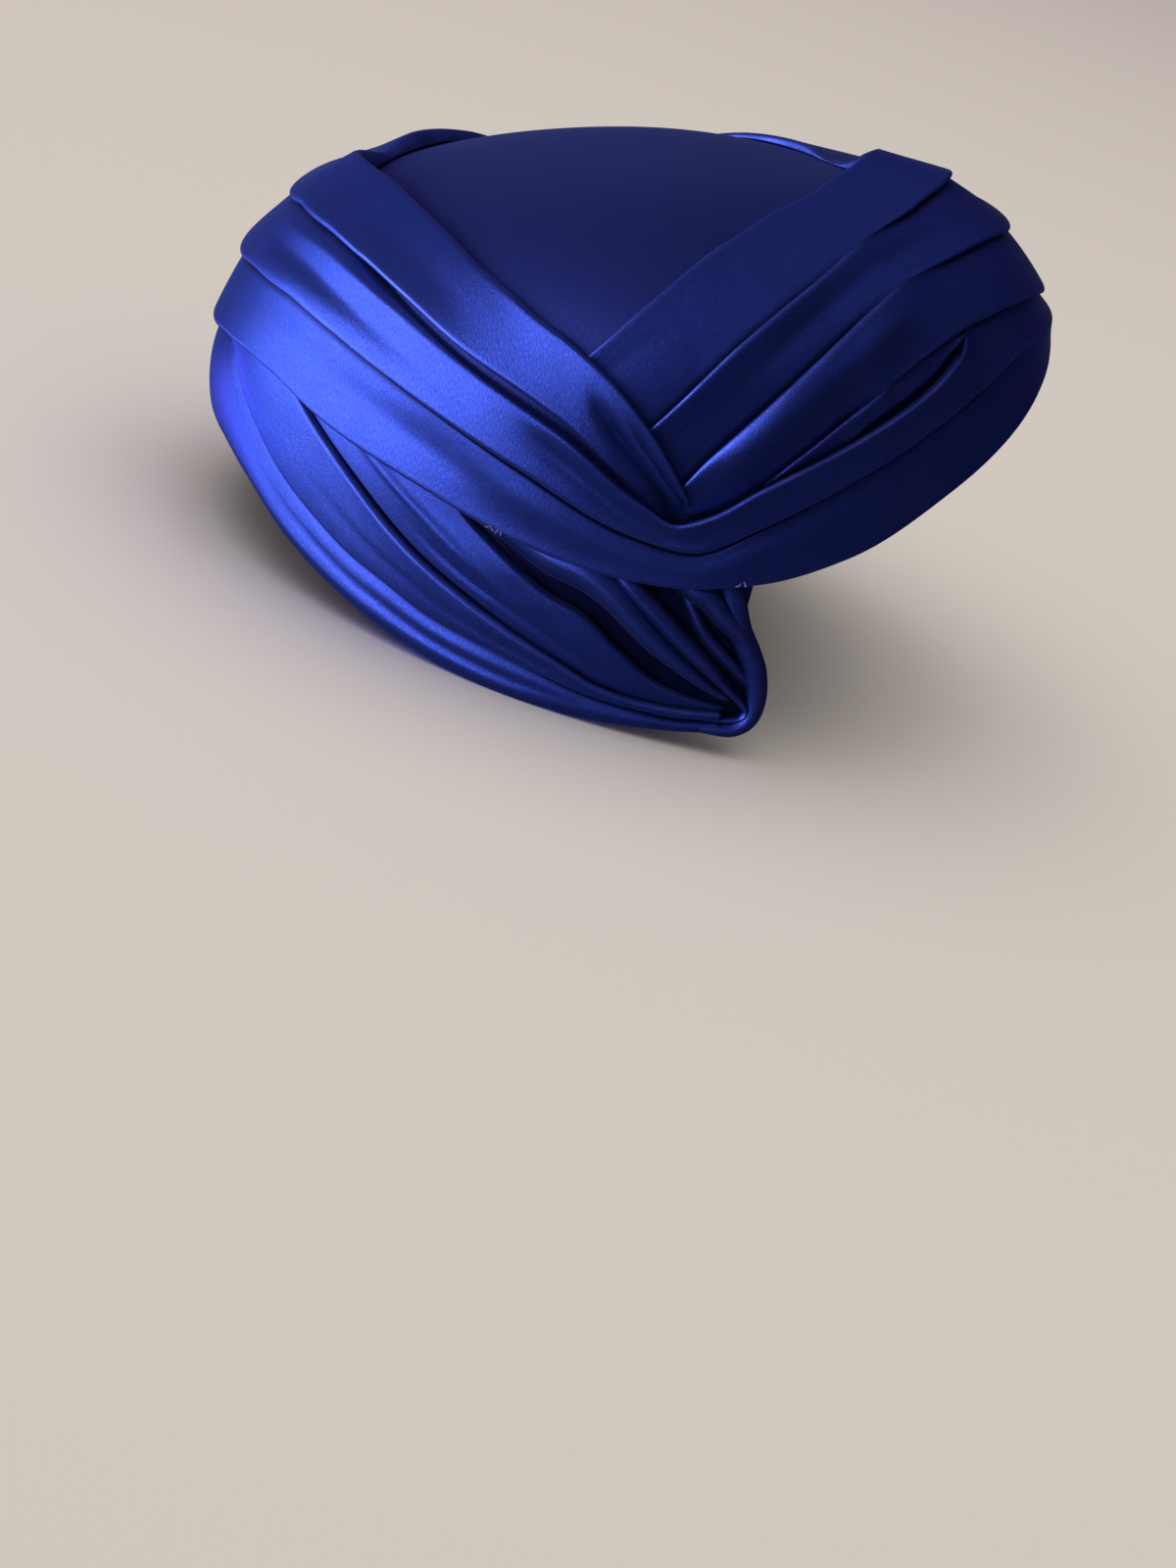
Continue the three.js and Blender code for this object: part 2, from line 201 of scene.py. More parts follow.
# %% How the layers lie
# Lengths are in millimetres. SLIT_RISE, FLUSH and the two curls are shares.
TUCK = 1.8
LAYER_GAP = 0.35
SLIT_WHOLE = 1.0
SLIT_RISE = 0.6
BLOCK_SEAT = 0.3
FLUSH = 0.45
LYING = ("front_edge", "back_edge", "hem")
CURL_LYING = 0.9
CURL_FREE = 0.6
LAYERS = {
    "front_edge": {0: (8.8, 1, 7.2, 1.6), 6: (8.0, 1, 6.6, 1.5), 14: (5.6, 1, 4.5, 1.3),
                   24: (3.6, 1, 2.9, 1.1), 36: (2.6, 1, 2.2, 1.0), 60: (1.9, 1, 1.5, 0.9),
                   100: (1.3, 1, 0.9, 0.8)},
    "front_fold_1": {0: (8.6, -1, 1.4, 1.0), 6: (8.0, -1, 1.4, 1.0), 12: (6.8, -1, 1.3, 1.0),
                     24: (4.9, -1, 1.2, 0.9), 44: (3.7, 0, 0.8, 0.8), 62: (3.7, 1, 1.4, 1.4),
                     72: (3.2, 1, 1.5, 1.8), 80: (2.4, 1, 1.4, 1.6), 92: (1.3, 1, 0.7, 0.7)},
    "front_fold_2": {0: (5.6, -1, 1.4, 1.0), 24: (4.6, -1, 1.3, 0.9), 42: (4.0, 0, 0.8, 0.8),
                     54: (4.2, 1, 1.5, 1.6), 64: (4.2, 1, 2.2, 3.4), 72: (3.5, 1, 2.4, 4.2),
                     79: (2.4, 1, 1.7, 3.6), 88: (1.4, 1, 0.8, 0.9)},
    "front_fold_3": {0: (5.0, -1, 1.3, 1.0), 31: (4.4, -1, 1.3, 1.0), 46: (3.9, -0.6, 0.9, 0.8),
                     57: (3.8, 1, 1.3, 1.4), 66: (3.4, 1, 1.3, 1.4), 74: (3.1, 1, 1.0, 1.0),
                     84: (2.4, 1, 0.8, 0.7)},
    "back_edge": {78: (3.0, 1, 0.8, 1.0), 86: (4.4, 1, 1.8, 1.1), 95: (4.8, 1, 2.6, 1.4),
                  101: (4.6, 1, 3.6, 1.8), 120: (4.2, 1, 3.6, 2.2), 150: (4.8, 1, 4.3, 2.2),
                  165: (6.3, 1, 5.5, 2.2), 180: (7.4, 1, 6.5, 2.4)},
    "band_top": {0: (5.0, -1, 1.3, 1.0), 30: (4.4, -1, 1.3, 0.9), 38: (4.3, 1, 2.6, 1.0),
                 56: (4.3, 1, 2.0, 1.0), 70: (4.6, 1, 1.6, 1.1), 84: (5.4, 1, 1.8, 1.4),
                 94: (5.1, 0.3, 1.8, 1.4), 106: (4.8, -0.5, 1.8, 1.3), 120: (4.8, -1, 1.6, 0.9),
                 140: (4.9, -1, 1.5, 0.8), 165: (5.4, -1, 1.6, 0.9), 180: (5.5, -1, 1.7, 1.0)},
    "band_middle": {0: (4.9, 0, 0.4, 0.3), 18: (4.7, 0, 0.4, 0.3), 26: (4.5, -0.6, 0.7, 0.5),
                    40: (4.5, -1, 1.8, 1.2), 84: (4.9, -1, 2.2, 1.4), 120: (4.8, -1, 1.8, 1.2),
                    180: (5.0, -1, 1.7, 1.6)},
    "band_bottom": {0: (3.8, -1, 3.2, 3.0), 40: (4.2, -1, 2.8, 2.0), 60: (4.6, -1, 2.2, 1.4),
                    84: (5.2, -1, 1.8, 1.2), 105: (5.2, -1, 1.8, 1.2), 125: (4.9, -1, 1.8, 1.1),
                    180: (5.0, -1, 1.8, 1.5)},
    "nape_fold_low": {68: (3.0, -1, 0.9, 0.9), 100: (3.7, -1, 1.2, 1.0), 135: (4.0, -1, 1.4, 1.2),
                      152: (4.0, -1, 1.3, 1.1), 163: (3.8, -1, 1.1, 1.0)},
    "nape_fold_high": {70: (2.8, 1, 0.9, 0.9), 95: (3.9, 1, 1.4, 1.1), 122: (4.6, 1, 2.2, 1.3),
                       138: (4.0, 1, 2.4, 1.3), 150: (2.8, 1, 1.8, 1.2)},
    "pocket_edge": {72: (2.6, 1, 1.4, 0.9), 85: (4.4, 1, 2.8, 1.5), 95: (5.0, 1, 3.2, 1.8),
                    105: (5.0, 1, 3.0, 1.8), 114: (3.4, 1, 2.0, 1.4), 119: (2.6, 1, 1.6, 1.2)},
    "hem": {68: (3.0, -1, 2.4, 2.4), 100: (3.8, -1, 3.4, 5.0), 140: (3.8, -1, 3.4, 5.0),
            180: (3.6, -1, 3.2, 4.0)},
}
SLITS = {
    "band_top": {0: 0, 32: 0, 36: 1.3, 50: 1.5, 60: 0, 81: 0, 87: 1.2, 93: 1.9, 104: 1.8, 120: 1.4,
                 136: 0.7, 152: 0.25, 166: 0, 180: 0},
    "band_middle": {0: 0, 26: 0, 36: 0.6, 70: 0.7, 100: 0.7, 130: 0.5, 160: 0.1, 180: 0},
    "nape_fold_high": {70: 0, 92: 0, 104: 0.5, 124: 1.2, 142: 1.3, 152: 0.6},
}
NO_SLIT = {0: 0, 180: 0}
SWAY = {
    "front_edge": (-17.0, 12.0, 0.85),
    "front_fold_1": (-19.0, 13.0, 0.85),
    "back_edge": (-166.0, 9.0, 0.6),
}


def layer(line, azimuth, below):
    """How the edge of one strip lies at a fold line: the lift of its top, how far it is tucked in, the
    share by which it is a folded edge, the thickness and rounding of that fold, and the share by which it
    goes under its neighbour. Where neither strip is on top both edges are folded in by the share FLUSH.
    The width of a slit is taken from the strip underneath, or half from each where neither is on top, and
    an edge that stops short there folds down to the block."""
    side = side_azimuth(azimuth)
    columns = [{place: row[k] for place, row in LAYERS[line].items()} for k in range(4)]
    lift, over, fold, roll = (through(column, side) for column in columns)
    if line in SWAY:
        centre, spread, share = SWAY[line]
        apart = (np.asarray(azimuth, float) - centre + 180.0) % 360.0 - 180.0
        lift = lift * (1 - share * np.exp(-((apart / spread) ** 2)))
        fold = np.minimum(fold, lift - BLOCK_SEAT)
    slit = through(SLITS.get(line, NO_SLIT), side)
    rank = over if below else -over
    folded = np.clip(rank + FLUSH, 0, 1)
    under = np.clip(-rank, 0, 1)
    yields = (1 - rank) / 2
    is_open = np.clip(slit / SLIT_WHOLE, 0, 1) * np.clip(2 * yields, 0, 1)
    lift = lift - under * (fold + LAYER_GAP) * (1 - SLIT_RISE * is_open)
    return {
        "lift": lift,
        "tuck": under * TUCK * (1 - is_open) - slit * yields,
        "top": np.maximum(folded, is_open),
        "under": np.maximum(under, is_open),
        "fold": fold + (lift - BLOCK_SEAT - fold) * is_open,
        "roll": roll,
        "curl": CURL_LYING if line in LYING else CURL_FREE,
    }


print("the lower rim of the back drape is", float(layer("band_bottom", 180.0, False)["fold"]), "mm thick")

# %% [markdown]
# ## From a grid to a mesh
# A pleat is a folded strip of cloth, so it has a top and an underside. Both are grids of points worked out
# as arrays, and one helper closes them: the cells of the top, the same cells of the underside turned
# round, and a wall along the open borders. A rolled fold is a tube instead: rings of points round a path,
# closed at both ends. UVs are kept in centimetres of cloth, so the grain has its true size on every piece.
# Each point also carries two marks for its colour: how near it is to a folded edge, which is painted
# paler, partly as wear and partly as a painted highlight, and how much painted shade it gets in a fold.

# %% From a grid to a mesh
UV_PER_MM = 0.1
MARKS = ("edge_wear_and_highlight", "painted_fold_shade")


def cell_faces(index):
    """Corner numbers of every cell of a grid of vertex numbers, going round each cell."""
    return np.stack([index[:-1, :-1], index[1:, :-1], index[1:, 1:], index[:-1, 1:]], axis=-1).reshape(-1, 4)


def wall_faces(line, other):
    """Corner numbers of the wall between two lines of vertex numbers."""
    return np.stack([line[:-1], line[1:], other[1:], other[:-1]], axis=-1)


def layer_faces(top, under, closed):
    """Faces of a closed layer: top cells, underside cells turned round, walls along the open borders."""
    faces = [cell_faces(top), cell_faces(under)[:, ::-1]]
    faces += [wall_faces(under[:, 0], top[:, 0]), wall_faces(top[:, -1], under[:, -1])]
    if not closed:
        faces += [wall_faces(top[0], under[0]), wall_faces(under[-1], top[-1])]
    return np.concatenate(faces)


def outward(points, faces, places, marks):
    """A shell, its faces turned so that its volume, the sum of a . (b x c), is positive."""
    a, b, c, d = (points[faces[:, k]] for k in range(4))
    volume = (np.cross(b - a, c - a) * a).sum() + (np.cross(c - a, d - a) * a).sum()
    turn = -1 if volume < 0 else 1
    return {"points": points, "faces": faces[:, ::turn], "places": places[:, ::turn], "marks": marks}


def layered_shell(top, under, cloth, edge, depth, closed=False):
    """Closed shell between two grids of points. cloth gives each point's place in millimetres of cloth,
    with one row more than the points where the last row is followed by the first one. edge says how near
    each point is to a folded edge, which is painted paler as wear and as a painted highlight, and depth how
    much painted shade it gets in a fold."""
    rows, columns = top.shape[:2]
    number = np.arange(rows * columns).reshape(rows, columns)
    ring = np.vstack([number, number[:1]]) if closed else number
    spot = np.arange(cloth.shape[0] * columns).reshape(-1, columns)
    faces = layer_faces(ring, ring + number.size, closed)
    places = cloth.reshape(-1, 2)[layer_faces(spot, spot, closed)]
    points = np.concatenate([top.reshape(-1, 3), under.reshape(-1, 3)])
    return outward(points, faces, places, np.stack([np.tile(edge.ravel(), 2), np.tile(depth.ravel(), 2)]))


def add_object(name, data):
    """A new object in the scene."""
    added = bpy.data.objects.new(name, data)
    bpy.context.scene.collection.objects.link(added)
    return added


def build(name, shells):
    """One object from closed shells, with the UV map 'cloth' and one attribute for each of MARKS."""
    counts = [len(shell["points"]) for shell in shells]
    starts = np.cumsum([0] + counts[:-1])
    points = np.concatenate([shell["points"] for shell in shells])
    faces = np.concatenate([shell["faces"] + start for shell, start in zip(shells, starts)])
    places = np.concatenate([shell["places"] for shell in shells])
    mesh = bpy.data.meshes.new(name)
    mesh.from_pydata(points, [], faces.tolist())
    mesh.shade_smooth()
    mesh.uv_layers.new(name="cloth").data.foreach_set("uv", (places * UV_PER_MM).ravel())
    for k, mark in enumerate(MARKS):
        values = np.concatenate([shell["marks"][k] for shell in shells])
        mesh.attributes.new(mark, "FLOAT", "POINT").data.foreach_set("value", values)
    return add_object(name, mesh)


made = {}


def make(node, shells):
    """Build the piece that stands for a node of the part, and keep it under the node's name."""
    made[node] = build(f"{node}_cloth", shells)


print("helpers ready: grids become closed pieces")

# %% [markdown]
# ## Pleats
# A pleat is a flat ribbon between two fold lines. On a round block a flat ribbon stands a little further
# off at its edges than in its middle, so its height is a straight line from edge to edge less a shallow
# hollow. The edge on top curls over as part of an ellipse and stands free of the layer below; the other
# edge runs straight in under its neighbour. Long creases and dents are bell-shaped ridges and valleys that
# fade at both ends. All of this is one height over the strip, so one function makes every pleat from a
# few named values. The edge on top is painted paler, partly as wear and partly as a painted highlight, and
# painted shade is laid next to the edge that goes under and on the ground of a deep dent.

# %% Pleats
# Lengths are in millimetres. CREASE_FADE, CURL_WHOLE and the limits of tuck and roll are shares.
ROLL_POINTS = 8
FLAT_POINTS = 22
CREASE_FADE = 0.3
LEAST_CLOTH = 0.4
CURL_WHOLE = 0.95
# Widths of the paler paint at an edge on top, partly wear and partly a painted highlight, and of the painted
# shade next to an edge that goes under; then where and how fast a dent's ground is painted dark.
WEAR_AND_HIGHLIGHT_WIDTH = 1.4
SHADE_WIDTH = 1.7
THIN_EDGE = 0.03
DENT_SHOWS = 1.2
DENT_DARK = 1.4
SEAT_REACH = 8.0
PRESSED = -0.5
TUCK_LIMIT = 0.4
ROLL_LIMIT = 0.45


def smooth(t):
    """Smooth step from 0 to 1."""
    t = np.clip(t, 0.0, 1.0)
    return t * t * (3 - 2 * t)


def creases(rows, azimuth, across, width):
    """Height added by long creases. Each crease runs from one place to another, (azimuth, share of the
    width), has a bell-shaped section, and fades out at both ends. A row holds the two places, the spread
    of the bell and its height."""
    side = side_azimuth(azimuth)
    total = np.zeros_like(side)
    for start, end, spread, height in rows:
        along = (side - start[0]) / (end[0] - start[0])
        centre = (start[1] + (end[1] - start[1]) * along) * width
        fade = smooth(along / CREASE_FADE) * smooth((1 - along) / CREASE_FADE)
        total += height * fade * np.exp(-(((across - centre) / spread) ** 2))
    return total


def pleat(node, upper, lower, spans, hollow, crease_rows=(), steps=220, closed=False):
    """A pleat between two fold lines. spans holds the azimuths where the upper and the lower edge start
    and end, hollow how far the middle lies below the straight line between the edges. The top is that
    height less the curl of the edges, which goes as 1 - sin of the turn. The underside lies one fold below
    the top layer's edge and is pressed a little into the cap further in. The edge on top is painted paler,
    as wear and as a painted highlight; painted shade falls next to an edge that goes under, and on the
    ground of a dent by what it passes DENT_SHOWS."""
    along = np.linspace(0, 1, steps, endpoint=not closed)[:, None]
    places = [first + (last - first) * along for first, last in spans]
    drops = [fold_line(upper, places[0]), fold_line(lower, places[1])]
    edges = [layer(upper, places[0], True), layer(lower, places[1], False)]
    borders = [on_form(places[k], drops[k], 0.0)[:, 0] for k in (0, 1)]
    width = np.maximum(np.linalg.norm(borders[1] - borders[0], axis=-1)[:, None], LEAST_CLOTH)

    tuck = [np.minimum(edge["tuck"], TUCK_LIMIT * width) for edge in edges]
    roll = [np.minimum(edge["roll"], ROLL_LIMIT * (width + tuck[0] + tuck[1])) for edge in edges]
    turn = np.linspace(0, np.pi / 2, ROLL_POINTS)[None, :]
    first = -tuck[0] + roll[0] * (1 - np.cos(turn))
    last = width + tuck[1] - roll[1] * (1 - np.cos(turn[:, ::-1]))
    middle = first[:, -1:] + (last[:, :1] - first[:, -1:]) * np.linspace(0, 1, FLAT_POINTS + 2)[None, 1:-1]
    across = np.concatenate([first, middle, last], axis=1)
    flat = np.zeros_like(middle)
    straight = np.zeros_like(last)
    bent = [edge["top"] * edge["fold"] * (1 - np.sin(turn)) for edge in edges]
    bends = [
        np.concatenate([bent[0], flat, straight], axis=1),
        np.concatenate([straight, flat, bent[1][:, ::-1]], axis=1),
    ]
    curl = bends[0] * edges[0]["curl"] + bends[1] * edges[1]["curl"]
    rise = CURL_WHOLE * (bends[0] + bends[1]) - curl

    share = across / width
    inside = np.clip(share, 0, 1)
    azimuth = places[0] + (places[1] - places[0]) * share
    drop = drops[0] + (drops[1] - drops[0]) * share
    height = edges[0]["lift"] + (edges[1]["lift"] - edges[0]["lift"]) * share
    height = height - hollow * 4 * inside * (1 - inside)
    dents = creases(crease_rows, azimuth, across, width)
    height = np.maximum(height + dents, BLOCK_SEAT + LEAST_CLOTH)
    seats = [
        BLOCK_SEAT + edge["top"] * np.maximum(edge["lift"] - edge["fold"] - BLOCK_SEAT, 0) for edge in edges
    ]
    inset = [across, width - across]
    reach = np.minimum(SEAT_REACH, width / 2)
    base = PRESSED + sum((seats[k] - PRESSED) * (1 - smooth(inset[k] / reach)) for k in (0, 1))
    base = np.minimum(base, height - LEAST_CLOTH)
    top = on_form(azimuth, drop, height - curl)
    under = on_form(azimuth, drop, np.minimum(base + rise, height - curl - THIN_EDGE))
    # Paler paint near a folded edge on top: partly wear, partly a painted highlight.
    wear_and_highlight = sum(
        edges[k]["top"] * (1 - edges[k]["under"]) * (1 - smooth((inset[k] + tuck[k]) / WEAR_AND_HIGHLIGHT_WIDTH))
        for k in (0, 1)
    )
    # Painted shade: dark paint next to an edge that goes under its neighbour and on the ground of deep
    # dents.
    depth = sum(edges[k]["under"] * (1 - smooth(inset[k] / SHADE_WIDTH)) for k in (0, 1))
    depth = np.clip(depth + np.maximum(-dents - DENT_SHOWS, 0) / DENT_DARK, 0, 1)
    run = np.concatenate([[0], np.cumsum(np.linalg.norm(np.diff(borders[0], axis=0), axis=-1))])[:, None]
    cloth = np.stack([run + 0 * across, across], axis=-1)
    if closed:
        step = np.linalg.norm(borders[0][0] - borders[0][-1])
        after = np.stack([cloth[-1:, :, 0] + step, cloth[:1, :, 1]], axis=-1)
        cloth = np.concatenate([cloth, after])
    make(node, [layered_shell(at_rest(top), at_rest(under), cloth, wear_and_highlight, depth, closed)])
    print(f"{node}: widest {width.max():.1f} mm, {run[-1, 0]:.0f} mm along its upper edge")


print("a pleat has", FLAT_POINTS + 2 * ROLL_POINTS, "points across")

# %% [markdown]
# ## Front drape
# Three pleats cross the front of the hat and run down to each side, where their ends go in under the back
# drape. A narrow leaf of a fourth one shows under the third at each side. The second pleat sags into a
# shallow valley, and the third is arched where it goes in under the crossing.

# %% Front drape
SIDES = {"right": 1, "left": -1}
pleat("front_pleat_top", "front_edge", "front_fold_1", ((-100, 100), (-91, 91)), hollow=0.5)
pleat(
    "front_pleat_middle", "front_fold_1", "front_fold_2", ((-90, 90), (-83.5, 83.5)), hollow=0.6,
    crease_rows=[((12, 0.55), (80, 0.42), 2.6, -0.7)])
pleat(
    "front_pleat_low", "front_fold_2", "front_fold_3", ((-83.5, 83.5), (-81, 81)), hollow=0.4,
    crease_rows=[((38, 0.4), (83, 0.38), 4.0, 1.8)])
for side_name, sign in SIDES.items():
    pleat(
        f"front_leaf_{side_name}", "front_fold_3", "band_top", ((33 * sign, 69.5 * sign),) * 2,
        hollow=0.1, steps=80)

# %% [markdown]
# ## Back drape and rim
# The widest pleat crosses the back. Its upper edge is a soft roll that lies on the crown, and it narrows
# to a dented point above each ear. Two more pleats start under it at the back, cross over the ends of the
# front drape at the sides, and meet in front as the rolled rim, so each of them is one closed ring.

# %% Back drape and rim
ALL_ROUND = ((0, 360), (0, 360))
pleat(
    "back_pleat", "back_edge", "band_top", ((79.8, 280.2), (79.6, 280.4)), hollow=0.7, steps=320,
    crease_rows=[((97, 0.42), (81, 0.74), 2.6, -1.9), ((91, 0.22), (78, 0.42), 1.2, -0.9),
                 ((94, 0.9), (72, 0.95), 3.2, -1.8), ((112, 0.6), (176, 0.5), 4.0, -0.3)])
pleat(
    "band_pleat_upper", "band_top", "band_middle", ALL_ROUND, hollow=0.4, steps=360, closed=True,
    crease_rows=[((112, 0.56), (177, 0.52), 2.8, -0.6), ((116, 0.24), (179, 0.24), 2.2, 0.4),
                 ((98, 0.0), (150, 0.02), 1.8, -1.6), ((109, 0.46), (76, 0.6), 2.6, -1.1)])
pleat(
    "band_pleat_lower", "band_middle", "band_bottom", ALL_ROUND, hollow=0.5, steps=360, closed=True,
    crease_rows=[((100, 0.45), (178, 0.45), 3.4, -0.4), ((18, 0.14), (104, 0.14), 2.2, -0.5),
                 ((52, 0.38), (124, 0.38), 4.5, 0.9)])

# %% [markdown]
# ## Nape folds
# Below the bands the cloth is drawn forward in three folds from the nape to a point in front of each ear:
# a full roll along the hem, one fold above it, and one that opens into the pocket where the gathers start.
# Long soft creases run along all three.

# %% Nape folds
pleat(
    "nape_fold_hem", "nape_fold_low", "hem", ((76, 284), (74.5, 285.5)), hollow=-1.1, steps=280,
    crease_rows=[((162, 0.42), (84, 0.46), 1.7, -0.5)])
for side_name, sign in SIDES.items():
    pleat(
        f"nape_fold_low_{side_name}", "nape_fold_high", "nape_fold_low",
        ((75.5 * sign, 152 * sign), (75.5 * sign, 165 * sign)), hollow=-0.4, steps=160,
        crease_rows=[((146, 0.55), (88, 0.5), 1.6, -0.3)])
    pleat(
        f"nape_fold_high_{side_name}", "pocket_edge", "nape_fold_high",
        ((75 * sign, 119 * sign), (75 * sign, 150 * sign)), hollow=-0.3, steps=160,
        crease_rows=[((140, 0.5), (108, 0.42), 3.2, 0.9), ((128, 0.72), (88, 0.62), 1.7, -0.55)])

# %% [markdown]
# ## Gathers
# At each ear the cloth is bunched into a fan of round folds that run from under the band to one point, and
# the foremost fold loops round that point into the hem. A fold is a tube: an ellipse pinched towards its
# crest, carried along a path on the block. Its crest is painted paler, as a painted highlight with some
# wear, and its sides are painted dark as shade. A thin sheet behind them closes the fan and is painted dark
# as the shade in the pocket.

# %% Gathers
TUBE_POINTS = 20
TUBE_STEPS = 60
PINCH = 0.45
# Marks on each tube: its crest is painted paler, as a painted highlight with some wear, and its sides are
# painted dark as shade.
CREST_WEAR_AND_HIGHLIGHT = 0.5
CREST_POWER = 6
SIDE_SHADE_POWER = 3
FAN_LIFT = 1.1
TUBE_RISE = 0.9
# Painted shade on the sheet behind the fan, which stands for the dark pocket.
SHEET_SHADE = 0.9
SHEET_GRID = (50, 40)
SHEET_CLOTH = (40.0, 30.0)
SHEET_START = -0.1
GATHER_TOP = (72.6, 114.0)
GATHER_POINT = ((69.6, 118.8), (86.0, 119.0))
GATHER_FOLDS = {
    "outer_roll": dict(
        path=[(76, 95), (74, 99.6), (72.7, 105.5), (71, 109.6), (70.1, 112.3), (69.8, 115.3), (70.2, 117.8),
              (71.6, 119.6), (74, 120.3), (79, 119.8), (84.5, 119.2)],
        wide={0: 1.6, 0.2: 2.6, 0.45: 2.6, 0.7: 1.9, 1: 0.7},
        high={0: 0.8, 0.2: 1.2, 0.45: 1.5, 0.75: 1.6, 1: 0.7}),
    "front_fold": dict(
        path=[(84, 95.5), (81, 98.2), (77.9, 100.2), (75.4, 103.4), (72.8, 106.2), (71, 108.8),
              (70.2, 111.5)],
        wide={0: 1.8, 0.3: 2.6, 0.7: 2.0, 1: 0.9}, high={0: 1.0, 0.3: 1.9, 0.7: 1.8, 1: 0.9}),
    "thin_pleat": dict(
        path=[(81, 100), (78.8, 105.2), (76.3, 108.6), (73.2, 111.8), (70.9, 114.4), (70.4, 116.8)],
        wide={0: 1.0, 0.5: 1.6, 1: 0.8}, high={0: 0.4, 0.3: 1.1, 1: 1.0}),
    "inner_loop": dict(
        path=[(94.5, 92), (92.2, 95.4), (90.5, 97.3), (87, 101.2), (82.2, 106.5), (77.2, 111.5),
              (74, 114.8), (72.3, 116.4), (71.4, 117.6), (71.9, 118.6), (73.6, 119.0),
              (77, 118.9), (80.5, 118.4)],
        wide={0: 1.8, 0.2: 2.5, 0.5: 2.0, 0.72: 1.0, 1: 0.7},
        high={0: 1.0, 0.2: 2.2, 0.5: 2.3, 0.75: 1.5, 1: 0.7}),
    "broad_fold": dict(
        path=[(112, 87.5), (105.5, 91.5), (101.8, 93.7), (97, 95.8), (92, 99.8), (89.5, 102.8), (85.8, 107),
              (82.2, 110.2), (77.2, 114.2), (74, 116.2)],
        wide={0: 2.6, 0.3: 3.8, 0.6: 3.0, 1: 0.9}, high={0: 1.0, 0.25: 2.0, 0.5: 2.6, 0.8: 2.2, 1: 0.9}),
}


def tube_shell(azimuth, drop, lift, wide, high):
    """Closed tube along a path on the block. Each ring is an ellipse, wide along the block and high off
    it, and the upper half is drawn in by PINCH times its height, which makes a softly pointed crest. Both
    ends are closed by strips of faces across the ring."""
    turn = np.linspace(0, 2 * np.pi, TUBE_POINTS + 1)
    centre = on_form(azimuth, drop, lift)
    normal = on_form(azimuth, drop, lift + 1) - centre
    ahead = np.gradient(centre, axis=0)
    aside = np.cross(ahead, normal)
    aside /= np.linalg.norm(aside, axis=-1, keepdims=True)
    draw = 1 - PINCH * np.maximum(np.sin(turn), 0)
    out = wide[:, None] * (np.cos(turn) * draw)[None, :]
    up = high[:, None] * np.sin(turn)[None, :]
    rings = centre[:, None] + aside[:, None] * out[..., None] + normal[:, None] * up[..., None]
    rows = len(centre)
    number = np.arange(rows * TUBE_POINTS).reshape(rows, TUBE_POINTS)
    ring = np.hstack([number, number[:, :1]])
    spot = np.arange(rows * (TUBE_POINTS + 1)).reshape(rows, TUBE_POINTS + 1)
    half = TUBE_POINTS // 2
    low = np.arange(half - 1)
    strip = np.stack([low, low + 1, TUBE_POINTS - 2 - low, TUBE_POINTS - 1 - low], axis=-1)

    def faces(index):
        return np.concatenate([cell_faces(index), index[0][strip], index[-1][strip][:, ::-1]])

    run = np.concatenate([[0], np.cumsum(np.linalg.norm(np.diff(centre, axis=0), axis=-1))])
    cloth = np.stack(np.broadcast_arrays(run[:, None], turn[None, :] * wide.mean()), axis=-1)
    points = at_rest(rings[:, :-1]).reshape(-1, 3)
    # Paler paint on the crest as a painted highlight with some wear; painted shade down the sides and
    # underneath.
    crest = np.maximum(np.sin(turn[:-1]), 0)
    ring_marks = (CREST_WEAR_AND_HIGHLIGHT * crest**CREST_POWER, (1 - crest) ** SIDE_SHADE_POWER)
    marks = np.stack([np.tile(mark, rows) for mark in ring_marks])
    return outward(points, faces(ring), cloth.reshape(-1, 2)[faces(spot)], marks)


def along_path(path, steps):
    """Azimuth and drop along a path, smooth through its places, and the share of the way."""
    places = np.array(path, float)
    way = np.concatenate([[0], np.cumsum(np.linalg.norm(np.diff(places, axis=0), axis=-1))])
    share = np.linspace(0, 1, steps)
    azimuth, drop = (through(dict(zip(way / way[-1], places[:, k])), share) for k in (0, 1))
    return azimuth, drop, share


